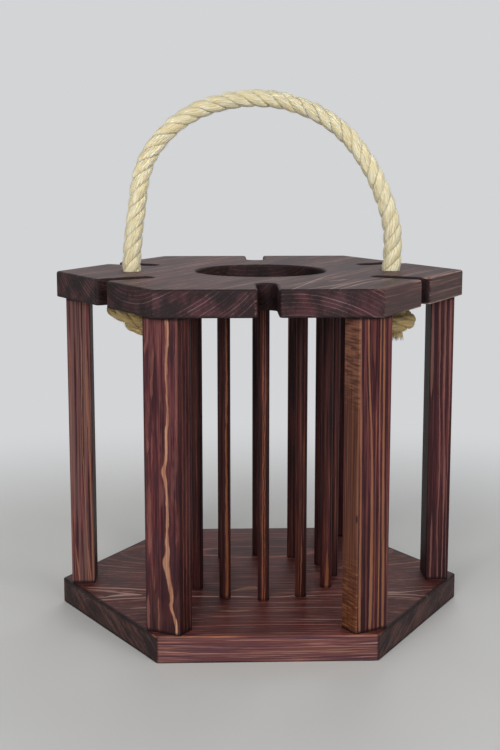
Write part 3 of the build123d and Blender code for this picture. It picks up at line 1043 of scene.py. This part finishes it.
# The handle's route in metres, from the left hole over the top and down into the right one.
HANDLE_ROUTE = [
    (-0.0919, 0.0, 0.2300), (-0.0913, 0.0, 0.2420), (-0.0907, 0.0, 0.2530), (-0.0896, 0.0, 0.2680),
    (-0.0864, 0.0, 0.2899), (-0.0838, 0.0, 0.3110), (-0.0745, 0.0, 0.3305), (-0.0565, 0.0, 0.3485),
    (-0.0310, 0.0, 0.3600), (-0.0010, 0.0, 0.3638), (0.0290, 0.0, 0.3582), (0.0570, 0.0, 0.3425),
    (0.0765, 0.0, 0.3175), (0.0884, 0.0, 0.2920), (0.0937, 0.0, 0.2700), (0.0936, 0.0, 0.2530),
    (0.0928, 0.0, 0.2420), (0.0921, 0.0, 0.2300),
]
HANDLE_LENGTH = 0.37

# An overhand knot in rope diameters from its middle: down, once round itself, then down through its own loop.
KNOT_ROUTE = [
    (-0.15, 0.3, 0.45), (-0.45, 0.35, -0.1), (-0.95, 0.15, -0.5), (-1.15, -0.5, -0.65), (-0.55, -1.05, -0.6),
    (0.4, -1.15, -0.5), (1.2, -0.7, -0.4), (1.4, 0.2, -0.2), (0.85, 1.1, 0.0), (-0.2, 1.3, 0.1),
    (-1.15, 0.95, 0.2), (-1.4, 0.0, 0.35), (-0.95, -0.75, 0.55), (-0.1, -0.95, 0.8), (0.55, -0.5, 0.75),
    (0.65, 0.0, 0.2), (0.45, 0.1, -0.45), (0.5, 0.05, -1.1),
]


def smooth_line(route):
    """Points along the NURBS spline that has the route's points as its control points."""
    curve = bpy.data.curves.new("route", "CURVE")
    curve.dimensions = "3D"
    curve.resolution_u = 24
    spline = curve.splines.new("NURBS")
    spline.points.add(len(route) - 1)
    for point, place in zip(spline.points, route):
        point.co = (*place, 1.0)
    spline.order_u = 3
    spline.use_endpoint_u = True
    holder = bpy.data.objects.new("route", curve)
    mesh = bpy.data.meshes.new_from_object(holder)
    line = np.array([vertex.co for vertex in mesh.vertices])
    bpy.data.objects.remove(holder)
    bpy.data.meshes.remove(mesh)
    bpy.data.curves.remove(curve)
    return line


def even_line(line, step):
    """The same smooth line with evenly spaced points, and how far along it each one is."""
    reach = np.concatenate([[0.0], np.cumsum(np.linalg.norm(np.diff(line, axis=0), axis=1))])
    places = np.linspace(0.0, reach[-1], max(8, round(reach[-1] / step)) + 1)
    return np.stack([np.interp(places, reach, line[:, axis]) for axis in range(3)], axis=1), places


def unit(vectors):
    """Vectors of length one."""
    return vectors / np.linalg.norm(vectors, axis=-1, keepdims=True)


def side_directions(line, first):
    """Two directions across the line at each point, which don't twist along it."""
    sides = []
    side = np.array(first, float)
    tangents = unit(np.gradient(line, axis=0))
    for tangent in tangents:
        side = unit(side - tangent * side.dot(tangent))
        sides.append(side)
    return np.array(sides), np.cross(tangents, sides)


class MeshParts:
    """Vertices, faces, UV places and crown values gathered before they become one mesh."""

    def __init__(self):
        self.points = []
        self.faces = []
        self.uvs = []
        self.crowns = []

    def tube(self, rings, uvs, crowns):
        """A tube closed at both ends. rings is steps x sides x 3, and uvs is steps x (sides + 1) x 2."""
        steps, sides = rings.shape[:2]
        start = len(self.points)
        self.points.extend(map(tuple, rings.reshape(-1, 3)))
        self.crowns.extend(crowns.reshape(-1))
        for step in range(steps - 1):
            low = start + step * sides
            for side in range(sides):
                after = (side + 1) % sides
                self.faces.append((low + side, low + after, low + sides + after, low + sides + side))
                self.uvs.extend((uvs[step][side], uvs[step][side + 1]))
                self.uvs.extend((uvs[step + 1][side + 1], uvs[step + 1][side]))
        for step, backwards in ((0, True), (steps - 1, False)):
            middle = len(self.points)
            self.points.append(tuple(rings[step].mean(axis=0)))
            self.crowns.append(float(crowns[step].mean()))
            low = start + step * sides
            for side in range(sides):
                after = (side + 1) % sides
                ends = (low + after, low + side) if backwards else (low + side, low + after)
                self.faces.append((*ends, middle))
                self.uvs.extend((uvs[step][side],) * 3)

    def make(self, name, material):
        """The finished object, smooth and in place."""
        mesh = bpy.data.meshes.new(name)
        mesh.from_pydata(self.points, [], self.faces)
        layer = mesh.uv_layers.new(name="lay")
        layer.data.foreach_set("uv", np.array(self.uvs, dtype=np.float32).ravel())
        crown = mesh.attributes.new("crown", "FLOAT", "POINT")
        crown.data.foreach_set("value", np.array(self.crowns, dtype=np.float32))
        mesh.polygons.foreach_set("use_smooth", [True] * len(mesh.polygons))
        mesh.materials.append(material)
        mesh.update()
        piece = bpy.data.objects.new(name, mesh)
        bpy.context.scene.collection.objects.link(piece)
        return piece


# A strand's section across the rope, in rope diameters: its middle's distance from the rope's middle, half its
# depth and half its width. Three such strands press together along flat sides of this slope, and the groove
# between two of them is filled up to a radius.
STRAND_OFFSET = 0.250
STRAND_DEPTH = 0.262
STRAND_WIDTH = 0.334
WEDGE_SLOPE = 1.86
GROOVE_FILL = 0.36
FILL_SHARE = 0.935

# Yarns: the vertices round each one, the strand's size at a groove and what a ridge adds to it, how unlike the
# yarns are, and how much they crowd on one side
YARN_CORNERS = 4
YARN_GROOVE = 0.935
YARN_RIDGE = 0.105
YARN_SPREAD = 0.03
YARN_LEAN = 0.4

# Each strand has three slow waves: the limits of their size, rate for each metre and shift
WAVES = ((0.02, 0.06), (60, 170), (0, 6))

# How far from the rope's middle, in rope diameters, the crown value rises from 0, and over what distance to 1
CROWN_START = 0.40
CROWN_SPAN = 0.10


def rope_piece(name, line, diameter, seed, material, thickness=None, loose_end=False):
    """A three-strand rope along the line: strands go one way round, and the yarns in them the other way."""
    rope = bpy.context.scene.caddy_rope
    chance = np.random.default_rng(seed)
    line, places = even_line(line, 1.1 * MM)
    steps, sides = len(line), YARN_CORNERS * rope.yarns
    girth = diameter * (thickness(places / places[-1]) if thickness else np.ones(steps))
    first, second = side_directions(line, (0, 1, 0))
    columns = np.linspace(-math.pi, math.pi, sides, endpoint=False)
    parts = MeshParts()
    for strand in range(3):
        waves = [[chance.uniform(*limits) for limits in WAVES] for _ in range(3)]
        uneven = sum(size * np.sin(rate * places + shift) for size, rate, shift in waves)
        swell = 1 + 0.5 * sum(size * np.cos(rate * 0.7 * places + shift) for size, rate, shift in waves)
        phase = 2 * math.pi * (places / rope.lay + strand / 3) + uneven
        outward = np.cos(phase)[:, None] * first + np.sin(phase)[:, None] * second
        sideways = -np.sin(phase)[:, None] * first + np.cos(phase)[:, None] * second
        yarn_sizes = np.repeat(chance.normal(1.0, YARN_SPREAD, rope.yarns), YARN_CORNERS)
        ridges = (YARN_GROOVE + YARN_RIDGE * np.abs(np.cos(rope.yarns / 2 * columns))) * yarn_sizes
        turned = columns[None] - 2 * math.pi * places[:, None] / rope.yarn_lay
        angles = turned - YARN_LEAN * np.sin(turned)
        depth = STRAND_OFFSET + STRAND_DEPTH * swell[:, None] * ridges * np.cos(angles)
        width = STRAND_WIDTH * ridges * np.sin(angles)
        depth = np.maximum(depth, 0.02)
        width = np.clip(width, -WEDGE_SLOPE * depth, WEDGE_SLOPE * depth)
        reach = np.maximum(np.hypot(depth, width), 0.05)
        filled = FILL_SHARE * (reach**4 + GROOVE_FILL**4) ** (1 / 4) / reach
        filled = np.where(np.cos(angles) > -0.45, filled, 1.0)
        depth, width = depth * filled, width * filled
        sections = depth[..., None] * outward[:, None] + width[..., None] * sideways[:, None]
        rings = line[:, None] + sections * girth[:, None, None]
        crowns = np.clip((np.hypot(depth, width) - CROWN_START) / CROWN_SPAN, 0, 1)
        around = np.append(columns, math.pi) * STRAND_DEPTH * diameter + strand
        uvs = np.stack(np.broadcast_arrays(around[None], places[:, None]), axis=2)
        parts.tube(rings, uvs, crowns)
        add_wisps(parts, chance, rings, angles, places, rope.wisps / 3, strand)
        if loose_end:
            add_fray(parts, chance, rings[-1], unit(line[-1] - line[-2]), strand)
    return parts.make(name, material)


# Limits of the loose fibres: their points, and how far they lift off and their radius in millimetres. Those
# of a cut end have a length, too, and there are FRAY_COUNT on each strand.
WISP_POINTS = (5, 11)
WISP_LIFT = (0.2, 1.7)
WISP_RADIUS = (0.045, 0.085)
FRAY_COUNT = 60
FRAY_LENGTH = (0.8, 3.0)
FRAY_RADIUS = (0.07, 0.12)


def add_hair(parts, points, radius, strand):
    """One loose fibre: a thin three-sided tube that narrows to its tip."""
    heading = unit(np.gradient(points, axis=0))
    first = unit(np.cross(heading, (0.3, 0.5, 0.81)))
    second = np.cross(heading, first)
    taper = radius * np.linspace(1.0, 0.35, len(points))[:, None]
    turns = [2 * math.pi * corner / 3 for corner in range(3)]
    sides = [math.cos(turn) * first + math.sin(turn) * second for turn in turns]
    rings = np.stack([points + taper * side for side in sides], axis=1)
    across = np.array([0, 0.2, 0.4, 0.6]) * MM + strand
    uvs = np.stack(np.broadcast_arrays(across[None], np.linspace(0, 8 * MM, len(points))[:, None]), axis=2)
    parts.tube(rings, uvs, np.ones(rings.shape[:2]))


def add_wisps(parts, chance, rings, angles, places, per_metre, strand):
    """Loose fibres that follow the yarns on the outer side of a strand and lift off it."""
    steps = len(rings)
    for _ in range(int(per_metre * places[-1])):
        count = int(chance.integers(*WISP_POINTS))
        start = chance.integers(0, steps - count)
        turned = (angles[start] + math.pi) % (2 * math.pi) - math.pi
        side = int(np.argmin(np.abs(turned - chance.normal(0, 0.7))))
        root = rings[start : start + count, side]
        away = unit(root - rings[start : start + count].mean(axis=1))
        share = np.linspace(0, 1, count)[:, None] ** 2
        if chance.random() < 0.5:
            share = share[::-1]
        points = root + away * chance.uniform(*WISP_LIFT) * MM * share + chance.normal(0, 0.4, 3) * MM * share
        if share[0] > share[-1]:
            points = points[::-1]
        add_hair(parts, points, chance.uniform(*WISP_RADIUS) * MM, strand)


def add_fray(parts, chance, ring, heading, strand):
    """The cut end of a strand: fibres of uneven length that spread a little."""
    middle = ring.mean(axis=0)
    for _ in range(FRAY_COUNT):
        corner = ring[chance.integers(0, len(ring))]
        root = middle + (corner - middle) * math.sqrt(chance.uniform(0, 0.9))
        spread = (root - middle) * 0.3 + chance.normal(0, 0.25, 3) * MM
        length = chance.uniform(*FRAY_LENGTH) * MM
        share = np.linspace(0, 1, 5)[:, None]
        points = root - heading * MM + heading * (length + MM) * share + spread * share**2
        add_hair(parts, points, chance.uniform(*FRAY_RADIUS) * MM, strand)


SISAL_SURFACE = {
    "Roughness": 0.75,
    "Specular IOR Level": 0.2,
    "Sheen Weight": 0.12,
    "Sheen Roughness": 0.5,
    "Subsurface Weight": 0.9,
    "Subsurface Radius": (1.0, 0.85, 0.6),
    "Subsurface Scale": 4.0 * MM,
}


def sisal_material(name, tint, grip=0.0):
    """Natural sisal: straw-coloured fibres that run with the yarns, with painted shade in the broken lines
    between the yarns. The last argument, when given, is how far along the rope a painted shade is darkest."""
    rope = bpy.context.scene.caddy_rope
    material, graph, shader = new_material(name)
    crown = graph.get("Attribute", output="Fac", attribute_name="crown")
    lay = graph.get("UVMap", uv_map="lay")
    across, along, _ = graph.split(lay)
    stretches = ((900, 100, 1), (620, 85, 1), (60, 12, 1), (500, 70, 1))
    bundles, yarns, slow, gaps = [graph.noise(lay, stretch, 2.0, 0.5) for stretch in stretches]
    fibres = graph.noise(lay, (2600, 150, 1), roughness=0.65)
    # Painted light: the grooves get the paler colour, against their shadow
    colour = graph.mix(crown.rise(0.0, 0.5), rope.shade, rope.straw)
    colour = graph.stain(colour, rope.golden, slow.rise(0.40, 0.70, 0.0, 0.45))
    colour = graph.stain(colour, rope.golden, bundles.rise(0.48, 0.64, 0.0, 0.6))
    colour = graph.stain(colour, rope.bleached, yarns.rise(0.50, 0.66, 0.0, 0.75))

    # Broken dark lines between the yarns, painted shade in their creases: a strand's UV lies round its own whole
    # number, half its girth each way
    across = across - graph.math("ROUND", across)
    turns = rope.yarns / (2 * STRAND_DEPTH * rope.diameter)
    crease_shade = abs(graph.math("COSINE", across * turns)).rise(0.0, 0.45, 1.0, 0.0)
    colour = graph.stain(colour, rope.crevice, crease_shade, gaps.rise(0.42, 0.60), 0.6)

    shade = fibres.rise(0.25, 0.75, 0.86, 1.08)
    # Painted shade: the handle darkens towards its middle
    if grip:
        shade = shade * abs(along - grip).rise(15 * MM, 95 * MM, 0.90, 1.0)
    tinted = graph.get("CombineColor", [shade * part for part in tint])
    surface = {
        **SISAL_SURFACE,
        "Base Color": graph.mix(1.0, colour, tinted, "MULTIPLY"),
        "Normal": graph.bump(bundles * 0.8 + fibres, 0.8, 0.4 * MM),
    }
    graph.feed_all(shader.inputs, surface)
    return material


# Each knot: the node it stands for, a seed, how far it is turned about the vertical and tipped to one side in
# degrees, its middle's depth under the top board, its rope's share of the handle's diameter, and where its tail
# ends, in rope diameters from its middle.
KNOTS = [
    ("rope_end_left", 31, -20, 30, 9.0 * MM, 0.80, (1.0, 0.0, -1.45)),
    ("rope_end_right", 47, 8, 0, 14.6 * MM, 0.87, (0.5, 0.0, -1.5)),
]
# The knots' sisal darker and more olive: painted shade, as the knots hang in shadow under the top board
KNOT_PAINTED_SHADE = (0.66, 0.54, 0.36)
KNOT_ACROSS = 92 * MM


class CADDY_OT_rope(bpy.types.Operator):
    """Lays the rope handle through its two holes and ties a stopper knot under each"""

    bl_idname = "caddy.rope"
    bl_label = "Rope and knots"

    def execute(self, context):
        rope = context.scene.caddy_rope
        sisal = sisal_material("sisal", (1.0, 1.0, 1.0), HANDLE_LENGTH / 2)
        # Painted shade on the knots' sisal
        shaded_knot_sisal = sisal_material("sisal_unbleached", KNOT_PAINTED_SHADE)
        knots = [self.knot(rope, shaded_knot_sisal, *row) for row in KNOTS]
        line = smooth_line(HANDLE_ROUTE)
        handle = rope_piece("sisal_rope", line, rope.diameter, 7, sisal, thickness=self.thickness)
        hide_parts("rope_handle")
        [tuple(point) for point in even_line(line, 2 * MM)[0]]
        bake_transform(handle)
        return {"FINISHED"}

    def thickness(self, share):
        """The handle's thickness along it: a little less where it is gripped."""
        return 1.07 - 0.10 * np.sin(math.pi * share) ** 2

    def knot(self, rope, material, node, seed, turn, tip, depth, share, tail):
        """An overhand knot pulled up against the top board, with its tail hanging."""
        low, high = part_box(node)
        girth = share * rope.diameter
        across = math.copysign(KNOT_ACROSS, (low + high).x)
        middle = Vector((across, 0, top_underside - depth))
        facing = Matrix.Rotation(math.radians(turn), 3, "Z")
        tipped = Matrix.Rotation(math.radians(tip), 3, "Y") @ facing
        entry = [Vector((across, 0, HANDLE_ROUTE[0][2])), Vector((across, 0, top_underside - 3 * MM))]
        body = [middle + tipped @ Vector(place) * girth for place in KNOT_ROUTE]
        for place in body:
            place.z = min(place.z, top_underside - 0.53 * girth)
        line = smooth_line(entry + body + [middle + facing @ Vector(tail) * girth])
        piece = rope_piece(f"knot_{node.split('_')[-1]}", line, girth, seed, material, loose_end=True)
        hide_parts(node)
        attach(piece, "frame")
        return piece


# Each lamp: where it stands in metres, its power in watts and its colour. All share their size and their aim.
LAMPS = {
    "key_lamp": ((-1.1, -2.7, 1.35), 66, (1.0, 0.985, 0.96)),
    "fill_lamp": ((1.6, -2.5, 1.25), 44, (0.97, 0.98, 1.0)),
    "back_lamp": ((0.6, 2.5, 1.6), 24, (1.0, 1.0, 1.0)),
}
LAMP_SIZE = 1.9
LAMP_AIM = Vector((0, 0, 0.15))

# The camera, where the photograph was taken from
CAMERA_PLACE = (-0.03983, -0.97107, 0.33463)
CAMERA_TURN = (math.radians(90 - 9.742), 0.0, math.radians(-1.907))


class CADDY_OT_stage(bpy.types.Operator):
    """Sets up the pale floor, the backdrop, the soft lamps and the camera"""

    bl_idname = "caddy.stage"
    bl_label = "Stage"

    def execute(self, context):
        scene, stage = context.scene, context.scene.caddy_stage
        bpy.ops.mesh.primitive_circle_add(vertices=96, radius=12.0, fill_type="NGON", location=(0, 0, 0))
        floor = context.object
        floor.name = "floor"
        floor.data.materials.append(self.floor_material(stage))
        self.world(scene, stage)
        for name, (place, power, colour) in LAMPS.items():
            aim = LAMP_AIM - Vector(place)
            turn = aim.to_track_quat("-Z", "Y").to_euler()
            bpy.ops.object.light_add(type="AREA", location=place, rotation=turn)
            lamp = context.object
            lamp.name = name
            lamp.data.shape = "DISK"
            lamp.data.size = LAMP_SIZE
            lamp.data.energy = power
            lamp.data.color = colour
        bpy.data.objects["back_lamp"].visible_glossy = False
        bpy.ops.object.camera_add(location=CAMERA_PLACE, rotation=CAMERA_TURN)
        scene.camera = context.object
        scene.camera.data.sensor_width = 36
        scene.camera.data.lens = stage.lens
        scene.view_settings.view_transform = "Standard"
        return {"FINISHED"}

    def floor_material(self, stage):
        """Pale matt floor that meets the backdrop's colour far away, for the camera alone."""
        material, graph, shader = new_material("pale_floor")
        where = graph.get("TexCoord", output="Object")
        cloud = graph.noise(where, (3, 3, 3), 3.0, 0.5).rise(0.3, 0.7)
        darker = [0.94 * part for part in stage.floor]
        graph.feed_all(shader.inputs, {"Roughness": 0.6, "Base Color": graph.mix(cloud, darker, stage.floor)})
        glow = graph.get("Emission", {"Color": stage.backdrop})
        seen = graph.get("LightPath", output="Is Camera Ray")
        share = graph.vector_math("LENGTH", where).rise(0.22, 0.66) * seen
        output = material.node_tree.nodes["Material Output"]
        graph.feed(output.inputs["Surface"], graph.get("MixShader", (share, shader.outputs[0], glow)))
        return material

    def world(self, scene, stage):
        """A plain light all round, and the backdrop's colour where the camera or a reflection looks past."""
        world = bpy.data.worlds.new("studio")
        world.use_nodes = True
        scene.world = world
        graph = Graph(world.node_tree)
        world.node_tree.nodes.clear()
        light = graph.get("Background", {"Color": (0.93, 0.96, 1.0), "Strength": 0.26})
        backdrop = graph.get("Background", {"Color": stage.backdrop})
        rays = graph.add("LightPath").outputs
        mirrored = graph.math("MAXIMUM", rays["Is Glossy Ray"], rays["Is Transmission Ray"])
        eye = graph.math("MAXIMUM", rays["Is Camera Ray"], mirrored)
        graph.add("OutputWorld", {"Surface": graph.get("MixShader", (eye, light, backdrop))})


OPERATORS = (
    CADDY_OT_stage,
    CADDY_OT_rope,
    CADDY_OT_base_board,
    CADDY_OT_top_board,
    CADDY_OT_posts,
    CADDY_OT_bottle_rods,
    CADDY_OT_dowels,
    CADDY_OT_screws,
)


class CADDY_PT_panel(bpy.types.Panel):
    """Lists what can be made and finished"""

    bl_idname = "CADDY_PT_panel"
    bl_label = "Bottle Caddy"
    bl_space_type = "VIEW_3D"
    bl_region_type = "UI"
    bl_category = "Caddy"

    def draw(self, context):
        for operator in OPERATORS:
            self.layout.operator(operator.bl_idname)
        for group in (context.scene.caddy_wood, context.scene.caddy_rope, context.scene.caddy_stage):
            for name in group.bl_rna.properties.keys():
                if name not in ("rna_type", "name"):
                    self.layout.prop(group, name)


CLASSES = (CaddyWood, CaddyRope, CaddyStage, *OPERATORS, CADDY_PT_panel)


def register():
    for item in CLASSES:
        bpy.utils.register_class(item)
    bpy.types.Scene.caddy_wood = PointerProperty(type=CaddyWood)
    bpy.types.Scene.caddy_rope = PointerProperty(type=CaddyRope)
    bpy.types.Scene.caddy_stage = PointerProperty(type=CaddyStage)


def unregister():
    del bpy.types.Scene.caddy_stage
    del bpy.types.Scene.caddy_rope
    del bpy.types.Scene.caddy_wood
    for item in reversed(CLASSES):
        bpy.utils.unregister_class(item)


def main():
    register()
    bpy.ops.object.select_all(action="DESELECT")
    for operator in OPERATORS:
        area, name = operator.bl_idname.split(".")
        getattr(getattr(bpy.ops, area), name)()


if __name__ == "__main__":
    main()
